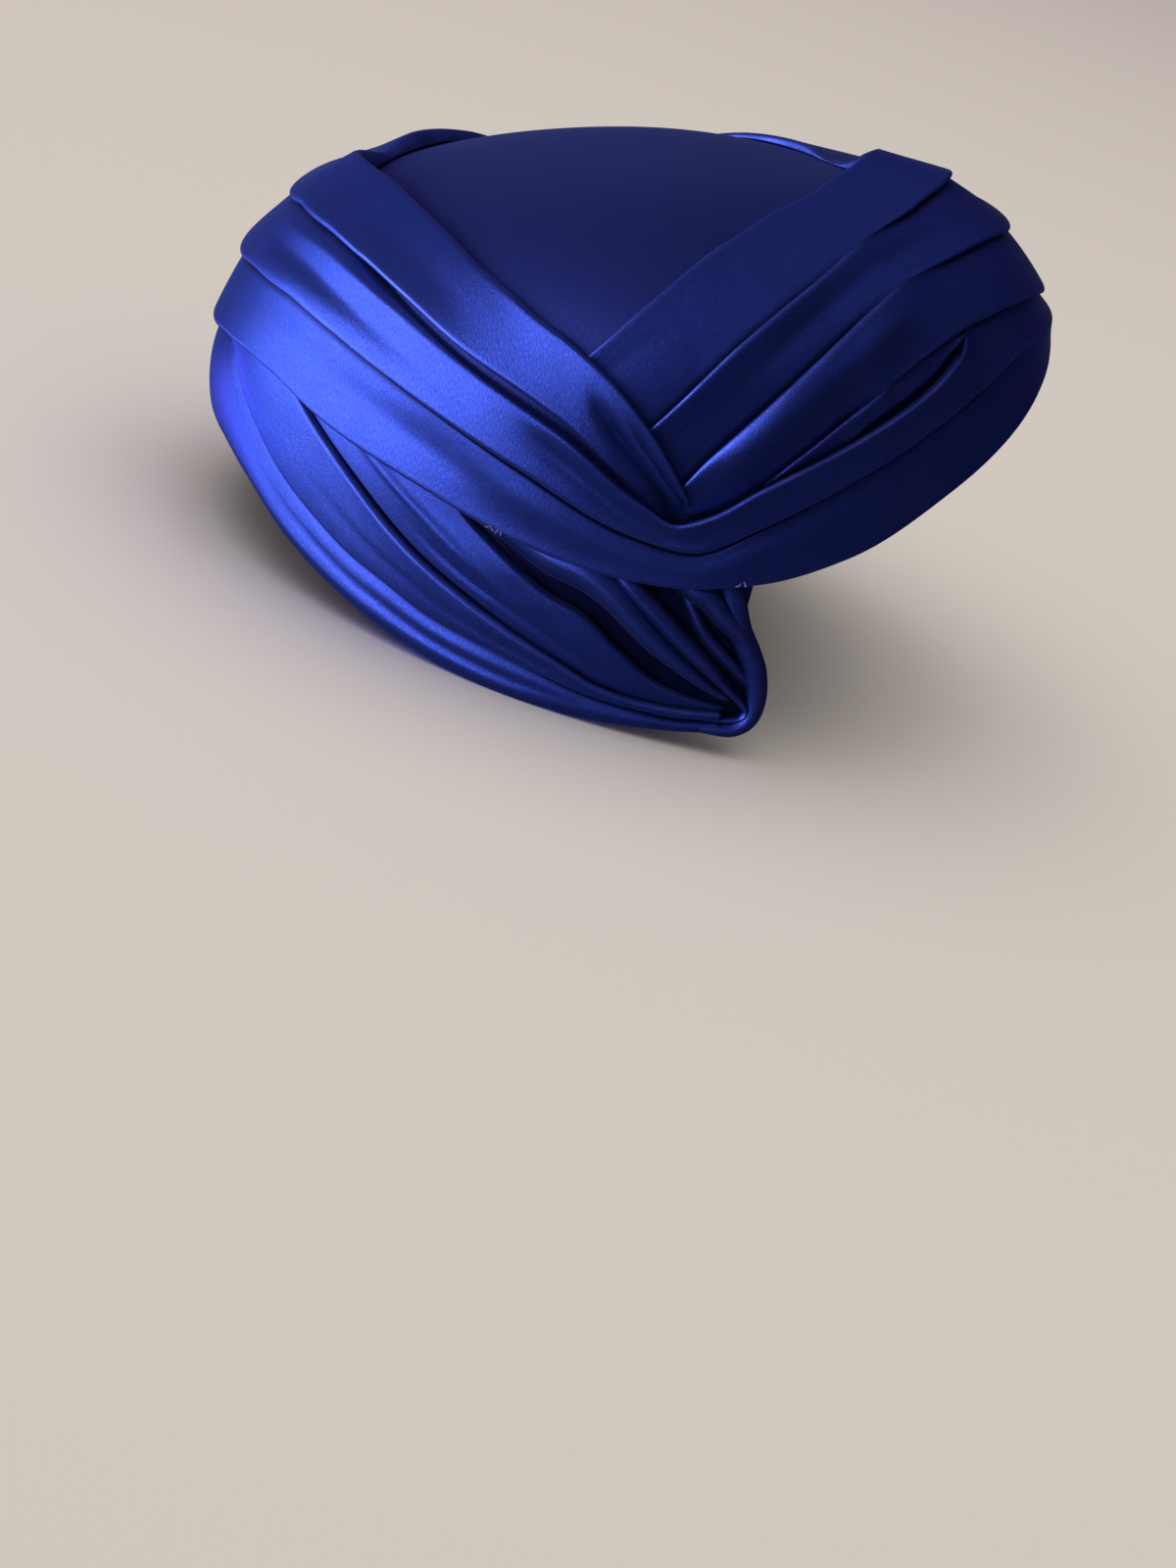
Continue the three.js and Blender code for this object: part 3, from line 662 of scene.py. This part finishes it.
def gather(node, sign):
    """The sheet behind the fan, from the lower band to the ear point, painted dark as shade, and the folds
    on it. GATHER_TOP gives the azimuths of the sheet's upper corners, GATHER_POINT the azimuth and the drop
    of its lower ones."""
    across = np.linspace(0, 1, SHEET_GRID[0])[:, None]
    down = np.linspace(SHEET_START, 1, SHEET_GRID[1])[None, :]
    top_azimuth = GATHER_TOP[0] + (GATHER_TOP[1] - GATHER_TOP[0]) * across
    top_drop = fold_line("band_bottom", top_azimuth)
    end_azimuth = GATHER_POINT[0][0] + (GATHER_POINT[1][0] - GATHER_POINT[0][0]) * across
    end_drop = GATHER_POINT[0][1] + (GATHER_POINT[1][1] - GATHER_POINT[0][1]) * across
    azimuth = top_azimuth + (end_azimuth - top_azimuth) * down
    drop = top_drop + (end_drop - top_drop) * down
    lift = np.full_like(azimuth, FAN_LIFT)
    cloth = np.stack(np.broadcast_arrays(down * SHEET_CLOTH[1], across * SHEET_CLOTH[0]), axis=-1)
    # The sheet is painted dark all over as the shade of the pocket behind the folds.
    sheet = layered_shell(
        at_rest(on_form(azimuth * sign, drop, lift)),
        at_rest(on_form(azimuth * sign, drop, lift - LEAST_CLOTH)),
        cloth, 0 * lift, 0 * lift + SHEET_SHADE)
    shells = [sheet]
    for row in GATHER_FOLDS.values():
        azimuth, drop, share = along_path(row["path"], TUBE_STEPS)
        wide, high = (through(row[key], share) for key in ("wide", "high"))
        shells.append(tube_shell(azimuth * sign, drop, FAN_LIFT + high * TUBE_RISE, wide, high))
    make(node, shells)
    print(f"{node}: {len(GATHER_FOLDS)} folds on one sheet")


for side_name, sign in SIDES.items():
    gather(f"side_gather_{side_name}", sign)

# %% [markdown]
# ## Crown
# The cap itself is satin stretched smooth over a stiff base, hollow underneath. It could be rings round a
# pole, but a pole pinches the shading on top, so a square grid is pressed into a disc instead and laid on
# the block.

# %% Crown
CROWN_CELLS = 150
CROWN_WALL = 2.0


def crown():
    """The cap: a square of u and v from -1 to 1 becomes the disc
    (u sqrt(1 - v v / 2), v sqrt(1 - u u / 2)),
    whose angle is the azimuth and whose radius is the share of the drop to the rim."""
    u, v = np.meshgrid(np.linspace(-1, 1, CROWN_CELLS), np.linspace(-1, 1, CROWN_CELLS), indexing="ij")
    x = u * np.sqrt(1 - v * v / 2)
    y = v * np.sqrt(1 - u * u / 2)
    azimuth = np.degrees(np.arctan2(y, x))
    drop = fold_line("crown_rim", azimuth) * np.hypot(x, y)
    top = on_form(azimuth, drop, 0.0 * drop)
    under = on_form(azimuth, drop, 0.0 * drop - CROWN_WALL)
    make("crown", [layered_shell(at_rest(top), at_rest(under), top[..., :2], 0.0 * drop, 0.0 * drop)])


crown()
print("crown:", len(made["crown"].data.polygons), "faces")

# %% [markdown]
# ## Stitches
# The pleats are caught down by hand, and a few pale stitches show where the lower band crosses the nape
# folds and above the ear point. A stitch is a short tube as well: it comes up through the cloth, lies on
# it and goes back in.

# %% Stitches
STITCHES = (
    (111.5, 0.45, 0.15), (110.8, -0.25, 0.4), (110.1, 0.35, 0.4), (109.5, 0.1, 0.45),
    (73.6, 0.4, 0.25), (72.6, -0.15, 0.45),
)
STITCH_ABOVE_EDGE = 0.6
STITCH_ARCH = 0.5
STITCH_SINK = 0.25
THREAD_RADIUS = 0.22
STITCH_STEPS = 13


def stitches(name, sign):
    """Stitches on the lower band, just above its lower edge. Each row gives an azimuth and the reach of
    the stitch from there, along and down, in degrees. Its height is half a wave: it starts STITCH_SINK
    under the cloth and rises by STITCH_ARCH."""
    way = np.linspace(-1, 1, STITCH_STEPS)
    arch = STITCH_ARCH * np.cos(way * np.pi / 2)
    radius = np.full(STITCH_STEPS, THREAD_RADIUS)
    shells = []
    for place, along, down in STITCHES:
        drop = fold_line("band_bottom", place) - STITCH_ABOVE_EDGE
        lift = layer("band_bottom", place, False)["lift"] - STITCH_SINK + arch
        shells.append(tube_shell((place + along * way) * sign, drop + down * way, lift, radius, radius))
    return build(name, shells)


STITCHED = {side_name: stitches(f"stitches_{side_name}", sign) for side_name, sign in SIDES.items()}
print(len(STITCHES), "stitches on each side")

# %% [markdown]
# ## Satin grain
# Satin is woven so that long smooth threads float on its face. They mirror light along one direction only,
# so a highlight is drawn out along the strip, broken into short streaks across it. The streaks are one
# noise pattern stretched in the cloth's own UVs, with slow clouds and the fine unevenness of the threads,
# kept in a node group because all three finishes use it.

# %% Satin grain
CLOUD_SCALE = 1.1
WEAVE_SCALE = 26.0
WEAVE_SHARE = 0.35


def add_node(tree, kind, **values):
    """A new node; values named after sockets set their default."""
    node = tree.nodes.new(kind)
    for key, value in values.items():
        node.inputs[key.replace("_", " ")].default_value = value
    return node


def satin_grain():
    """Node group: from a place on the cloth in centimetres to streaks, clouds and thread height."""
    group = bpy.data.node_groups.new("satin_grain", "ShaderNodeTree")
    sockets = group.interface
    sockets.new_socket("Cloth", in_out="INPUT", socket_type="NodeSocketVector")
    sockets.new_socket("Streaks along", in_out="INPUT", socket_type="NodeSocketFloat")
    sockets.new_socket("Streaks across", in_out="INPUT", socket_type="NodeSocketFloat")
    for name in ("Streak", "Cloud", "Height"):
        sockets.new_socket(name, in_out="OUTPUT", socket_type="NodeSocketFloat")
    source = group.nodes.new("NodeGroupInput")
    result = group.nodes.new("NodeGroupOutput")
    size = group.nodes.new("ShaderNodeCombineXYZ")
    stretch = group.nodes.new("ShaderNodeVectorMath")
    stretch.operation = "MULTIPLY"
    streak = add_node(group, "ShaderNodeTexNoise", Scale=1.0, Detail=2.0, Roughness=0.6)
    cloud = add_node(group, "ShaderNodeTexNoise", Scale=CLOUD_SCALE, Detail=3.0, Roughness=0.55)
    weave = add_node(group, "ShaderNodeTexNoise", Scale=WEAVE_SCALE, Detail=1.0, Roughness=0.5)
    blend = group.nodes.new("ShaderNodeMath")
    blend.operation = "MULTIPLY_ADD"
    blend.inputs[1].default_value = WEAVE_SHARE
    link = group.links.new
    link(source.outputs["Streaks along"], size.inputs["X"])
    link(source.outputs["Streaks across"], size.inputs["Y"])
    link(source.outputs["Cloth"], stretch.inputs[0])
    link(size.outputs["Vector"], stretch.inputs[1])
    link(stretch.outputs["Vector"], streak.inputs["Vector"])
    link(source.outputs["Cloth"], cloud.inputs["Vector"])
    link(source.outputs["Cloth"], weave.inputs["Vector"])
    link(weave.outputs["Fac"], blend.inputs[0])
    link(streak.outputs["Fac"], blend.inputs[2])
    link(streak.outputs["Fac"], result.inputs["Streak"])
    link(cloud.outputs["Fac"], result.inputs["Cloud"])
    link(blend.outputs["Value"], result.inputs["Height"])
    return group


GRAIN = satin_grain()
print("node group", GRAIN.name, "with", len(GRAIN.nodes), "nodes")

# %% [markdown]
# ## Satin
# The colour of satin sits in its gloss: a lit fold is bright royal blue, a fold turned away is nearly
# black. A metallic shader does just that. Its base colour is the colour of the gloss, a share of it is
# left plain for the dull threads between, the specular tint keeps glancing light blue, and anisotropy
# along the cloth's own direction draws the highlight out. Streaks change colour and roughness. Folded
# edges and gather crests are painted paler, partly as wear and partly as a painted highlight, and the
# cloth next to tucked edges, in deep dents, down the sides of the gathers and on the sheet behind them
# is painted dark as shade.

# %% Satin
# worn is the paler colour of folded edges and gather crests: partly wear, partly a painted highlight.
SATIN_FINISHES = {
    "drape_satin": dict(
        dark=(0.009, 0.016, 0.125), light=(0.020, 0.036, 0.26), worn=(0.045, 0.066, 0.36),
        rough=(0.26, 0.38), metallic=0.85, anisotropic=0.4, streaks=(48.0, 10.0)),
    "crown_satin": dict(
        dark=(0.009, 0.0125, 0.094), light=(0.012, 0.017, 0.12), worn=(0.04, 0.05, 0.2),
        rough=(0.46, 0.56), metallic=0.8, anisotropic=0.2, streaks=(30.0, 12.0)),
    "thread": dict(
        dark=(0.14, 0.16, 0.55), light=(0.34, 0.38, 0.95), worn=(0.4, 0.45, 1.0),
        rough=(0.5, 0.65), metallic=0.0, anisotropic=0.0, streaks=(40.0, 40.0)),
}
# The colour of painted shade, mixed in deep in folds, on the sheet behind the gathers and down the tubes'
# sides.
FOLD_SHADE_COLOUR = (0.002, 0.0025, 0.018)
BUMP_DISTANCE = 0.00012
BUMP_STRENGTH = 0.5
NOISE_SPAN = (0.3, 0.7)
CLOUD_SHARE = 0.35
# How much the clouds let through of that paler edge colour, which is partly wear and partly a painted
# highlight.
WEAR_AND_HIGHLIGHT_RANGE = (0.1, 0.8)
GLANCING_TINT = (0.25, 0.35, 0.9, 1.0)
SHEEN = 0.05
SHEEN_TINT = (0.2, 0.3, 1.0, 1.0)
# Places of the two colours and of the result among the sockets of a Mix node.
MIX_COLOURS = (6, 7)
MIX_RESULT = 2


def ranged(tree, value, low, high, span=NOISE_SPAN, curve="LINEAR"):
    """Map a value from its span to the range from low to high. NOISE_SPAN is where noise mostly lies."""
    node = add_node(tree, "ShaderNodeMapRange", From_Min=span[0], From_Max=span[1], To_Min=low, To_Max=high)
    node.interpolation_type = curve
    tree.links.new(value, node.inputs["Value"])
    return node.outputs["Result"]


def mixed(tree, factor, first, second):
    """Colour between two colours; each is a socket or a colour."""
    node = tree.nodes.new("ShaderNodeMix")
    node.data_type = "RGBA"
    tree.links.new(factor, node.inputs["Factor"])
    for place, colour in zip(MIX_COLOURS, (first, second)):
        if isinstance(colour, tuple):
            node.inputs[place].default_value = (*colour, 1.0)
        else:
            tree.links.new(colour, node.inputs[place])
    return node.outputs[MIX_RESULT]


def satin(name, dark, light, worn, rough, metallic, anisotropic, streaks):
    """Satin from a dark and a light thread colour, the paler colour of folded edges and crests, which is
    partly wear and partly a painted highlight, and a roughness range.
    """
    material = bpy.data.materials.new(name)
    material.use_nodes = True
    tree = material.node_tree
    link = tree.links.new
    shader = tree.nodes["Principled BSDF"]
    cloth = tree.nodes.new("ShaderNodeUVMap")
    cloth.uv_map = "cloth"
    grain = tree.nodes.new("ShaderNodeGroup")
    grain.node_tree = GRAIN
    link(cloth.outputs["UV"], grain.inputs["Cloth"])
    grain.inputs["Streaks along"].default_value = streaks[0]
    grain.inputs["Streaks across"].default_value = streaks[1]
    streak = ranged(tree, grain.outputs["Streak"], 0.0, 1.0)
    colour = mixed(tree, streak, dark, light)
    colour = mixed(tree, ranged(tree, grain.outputs["Cloud"], 0.0, CLOUD_SHARE), colour, dark)
    # Paler paint at folded edges and crests: partly wear, partly a painted highlight.
    edge = tree.nodes.new("ShaderNodeAttribute")
    edge.attribute_name = "edge_wear_and_highlight"
    wear_and_highlight_share = tree.nodes.new("ShaderNodeMath")
    wear_and_highlight_share.operation = "MULTIPLY"
    link(edge.outputs["Fac"], wear_and_highlight_share.inputs[0])
    link(ranged(tree, grain.outputs["Cloud"], *WEAR_AND_HIGHLIGHT_RANGE), wear_and_highlight_share.inputs[1])
    colour = mixed(tree, wear_and_highlight_share.outputs["Value"], colour, worn)
    # Painted shade: the fold mark darkens the colour towards the shade colour.
    depth = tree.nodes.new("ShaderNodeAttribute")
    depth.attribute_name = "painted_fold_shade"
    link(mixed(tree, depth.outputs["Fac"], colour, FOLD_SHADE_COLOUR), shader.inputs["Base Color"])
    link(ranged(tree, grain.outputs["Streak"], rough[1], rough[0]), shader.inputs["Roughness"])
    bump = add_node(tree, "ShaderNodeBump", Strength=BUMP_STRENGTH, Distance=BUMP_DISTANCE)
    link(grain.outputs["Height"], bump.inputs["Height"])
    link(bump.outputs["Normal"], shader.inputs["Normal"])
    tangent = tree.nodes.new("ShaderNodeTangent")
    tangent.direction_type = "UV_MAP"
    tangent.uv_map = "cloth"
    link(tangent.outputs["Tangent"], shader.inputs["Tangent"])
    for key, value in {
        "Metallic": metallic, "Anisotropic": anisotropic, "Specular Tint": GLANCING_TINT,
        "Sheen Weight": SHEEN, "Sheen Tint": SHEEN_TINT,
    }.items():
        shader.inputs[key].default_value = value
    return material


FINISHES = {name: satin(name, **row) for name, row in SATIN_FINISHES.items()}
for node, piece in made.items():
    slot = "crown_satin" if node == "crown" else "drape_satin"
    piece.data.materials.append(FINISHES[slot])
    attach(piece, "root")
    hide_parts(node)
for piece in STITCHED.values():
    piece.data.materials.append(FINISHES["thread"])
    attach(piece, "root")
print(len(made), "pieces of cloth and", len(STITCHED), "rows of stitches dressed")

# %% [markdown]
# ## The cut cloth
# Every piece of cloth was cut flat before it was folded and sewn down. The crown's cut is an oval,
# stretched over the cap.


# %% [markdown]
# ## Floor
# A plain sheet of pale paper, large enough to fill the picture. It is kept out of reflections, because the
# worn hat has a dark space below its hem, not a bright table.

# %% Floor
FLOOR_HALF = 30.0
PAPER = (0.78, 0.785, 0.745, 1)
PAPER_ROUGHNESS = 0.95
floor_mesh = bpy.data.meshes.new("floor")
floor_mesh.from_pydata(
    [(-FLOOR_HALF, -FLOOR_HALF, 0), (FLOOR_HALF, -FLOOR_HALF, 0), (FLOOR_HALF, FLOOR_HALF, 0),
     (-FLOOR_HALF, FLOOR_HALF, 0)], [], [(0, 1, 2, 3)])
floor = add_object("floor", floor_mesh)
paper = bpy.data.materials.new("pale_paper")
paper.use_nodes = True
paper_shader = paper.node_tree.nodes["Principled BSDF"]
paper_shader.inputs["Base Color"].default_value = PAPER
paper_shader.inputs["Roughness"].default_value = PAPER_ROUGHNESS
floor_mesh.materials.append(paper)
floor.visible_glossy = False
print("floor", 2 * FLOOR_HALF, "m wide")

# %% [markdown]
# ## Camera
# The picture was taken from the wearer's right, a little above. The camera is placed round the worn hat
# and then leaned back with it, so the hat keeps its place and its angle in the picture.

# %% Camera
CAMERA_PLACE = np.array([0.0, -665.7, 216.3])
CAMERA_LOOK = np.array([-0.01365, 0.90684, -0.42126])
FOCAL_PIXELS = 3052.0
IMAGE_HEIGHT = 1600.0
SENSOR = 36.0
right = np.cross(CAMERA_LOOK, (0, 0, 1))
right /= np.linalg.norm(right)
up = np.cross(right, CAMERA_LOOK)
camera_data = bpy.data.cameras.new("camera")
camera_data.sensor_fit = "VERTICAL"
camera_data.sensor_height = SENSOR
camera_data.lens = FOCAL_PIXELS / IMAGE_HEIGHT * SENSOR
camera = add_object("camera", camera_data)
leaned = Matrix(LEAN.tolist()).to_4x4()
leaned.translation = Vector(REST_PLACE * MM)
stand = Matrix(np.stack([right, up, -CAMERA_LOOK], axis=1).tolist()).to_4x4()
stand.translation = Vector(CAMERA_PLACE * MM)
camera.matrix_world = leaned @ stand
bpy.context.scene.camera = camera
print("camera stands", round(camera.matrix_world.translation.length, 3), "m from the origin")

# %% [markdown]
# ## Light
# A large window stands to the left, its sill level with the worn hat, and its mirror image is what makes
# the back drape shine. A low strip of lit wall behind does the same for the nape. Both are leaned back
# with the hat as the camera is, so part of them is below the floor: light linking lets them light the cloth
# alone, with nothing but the cloth in their way. A lamp overhead lights the floor alone in the same manner.
# The room gives soft light from above and from behind, and stays dark to the right, where the front of the
# hat turns away. Colours are shown as they are, without a film curve, so that the blue stays as saturated
# as the cloth.

# %% Light
WINDOW_PLACE = (-0.62, -0.28, 0.30)
WINDOW_SIZE = (1.3, 0.62)
WINDOW_POWER = 19.5
WALL_PLACE = (-0.59, 0.05, -0.10)
WALL_SIZE = (0.75, 0.18)
WALL_POWER = 2.6
FLOOR_LAMP_HEIGHT = 1.6
FLOOR_LAMP_SIZE = (2.4, 2.4)
FLOOR_LAMP_POWER = 20.0
COOL_WHITE = (0.93, 0.98, 1.0)
WARM_WHITE = (1.0, 0.95, 0.88)
ROOM_COLOUR = (1.0, 0.83, 0.82)
ROOM_DARK = 0.13
ROOM_BRIGHT = 0.5
ROOM_SLOPE = (-0.5, 0.0, 0.8)
ROOM_SPAN = (-0.1, 0.9)


def soft_light(name, place, aim, size, power, colour):
    """A rectangle of light that faces its aim. It doesn't show in the picture itself."""
    data = bpy.data.lights.new(name, "AREA")
    data.shape = "RECTANGLE"
    data.size = size[0]
    data.size_y = size[1]
    data.energy = power
    data.color = colour
    lamp = add_object(name, data)
    lamp.location = place
    lamp.rotation_euler = (Vector(aim) - Vector(place)).to_track_quat("-Z", "Y").to_euler()
    lamp.visible_camera = False
    return lamp


def lights_only(lamp, pieces, blockers):
    """Light linking: the lamp lights these pieces alone, and only the blockers shade its light."""
    for role, members in (("receiver_collection", pieces), ("blocker_collection", blockers)):
        group = bpy.data.collections.new(f"{lamp.name}_{role}")
        for member in members:
            group.objects.link(member)
        setattr(lamp.light_linking, role, group)


def room_light():
    """World light that goes up from dark to bright with height, and from the brow to the nape: the dot
    product of the direction and ROOM_SLOPE, over the range ROOM_SPAN."""
    world = bpy.data.worlds.new("room")
    world.use_nodes = True
    tree = world.node_tree
    direction = tree.nodes.new("ShaderNodeTexCoord")
    slope = tree.nodes.new("ShaderNodeVectorMath")
    slope.operation = "DOT_PRODUCT"
    slope.inputs[1].default_value = ROOM_SLOPE
    tree.links.new(direction.outputs["Generated"], slope.inputs[0])
    level = ranged(tree, slope.outputs["Value"], ROOM_DARK, ROOM_BRIGHT, ROOM_SPAN, "SMOOTHSTEP")
    background = tree.nodes["Background"]
    background.inputs["Color"].default_value = (*ROOM_COLOUR, 1)
    tree.links.new(level, background.inputs["Strength"])
    return world


window = soft_light("window", WINDOW_PLACE, (0, 0, 0), WINDOW_SIZE, WINDOW_POWER, COOL_WHITE)
wall = soft_light("wall", WALL_PLACE, (0, 0, 0), WALL_SIZE, WALL_POWER, COOL_WHITE)
for lamp in (window, wall):
    lamp.matrix_world = leaned @ Matrix.LocRotScale(lamp.location, lamp.rotation_euler, None)
    lights_only(lamp, made.values(), made.values())
floor_lamp = soft_light(
    "floor_lamp", (0, 0, FLOOR_LAMP_HEIGHT), (0, 0, 0), FLOOR_LAMP_SIZE, FLOOR_LAMP_POWER, WARM_WHITE)
lights_only(floor_lamp, [floor], made.values())
bpy.context.scene.world = room_light()
bpy.context.scene.view_settings.view_transform = "Standard"
print("window of", WINDOW_SIZE[0] * WINDOW_SIZE[1], "m2 at", WINDOW_POWER, "W")
